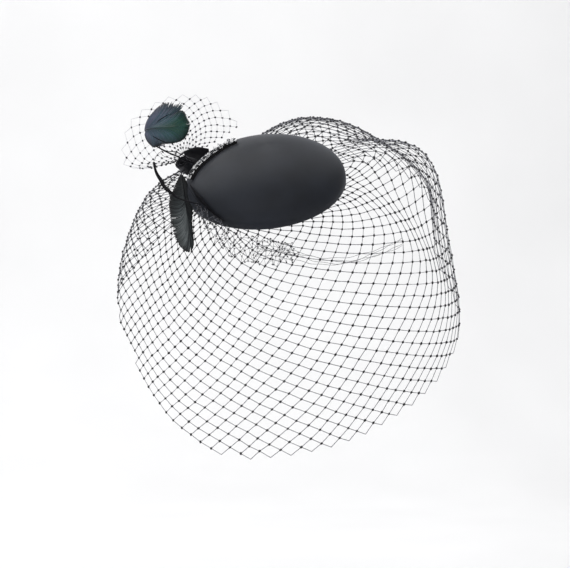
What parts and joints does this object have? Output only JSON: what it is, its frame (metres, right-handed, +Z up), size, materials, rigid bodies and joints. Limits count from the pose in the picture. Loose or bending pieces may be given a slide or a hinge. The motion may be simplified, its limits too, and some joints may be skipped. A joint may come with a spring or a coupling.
{
  "type": "cocktail hat with birdcage veil",
  "caption": "Small oval satin cocktail hat, worn tipped, with a gathered diamond-net veil, a net fan, a ribbon rosette, curled feathers, a beaded braid and a hidden comb that holds it.",
  "frame": {"origin": "middle of the cap's open mouth, where the cap sits on the head", "axes": "+Z up when worn, -Y the way the wearer faces, +X the wearer's left; the cap tips to the right front"},
  "size_m": [0.3239, 0.2815, 0.3491],
  "materials": {
    "satin": "black satin, soft sheen",
    "beads": "faceted, dark silver lustre",
    "band": "matt black woven band",
    "rosette": "black satin ribbon",
    "net": "black knotted millinery net",
    "iridescent_feather": "iridescent blue-green barbs",
    "downy_feather": "soft grey down over a dark vane",
    "quill": "narrow glossy black vane",
    "comb": "moulded"
  },
  "bodies": {
    "root": {"hat_base": "satin", "bead_braid": "beads", "edge_quill_feather": "quill", "hair_comb": "comb", "rosette_fold": "rosette", "rosette_coil": "rosette", "birdcage_veil": "net", "veil_fan": "net", "curled_feather": "iridescent_feather", "hanging_feather": "downy_feather", "curl_quill_feather": "quill"}
  },
  "joints": []
}
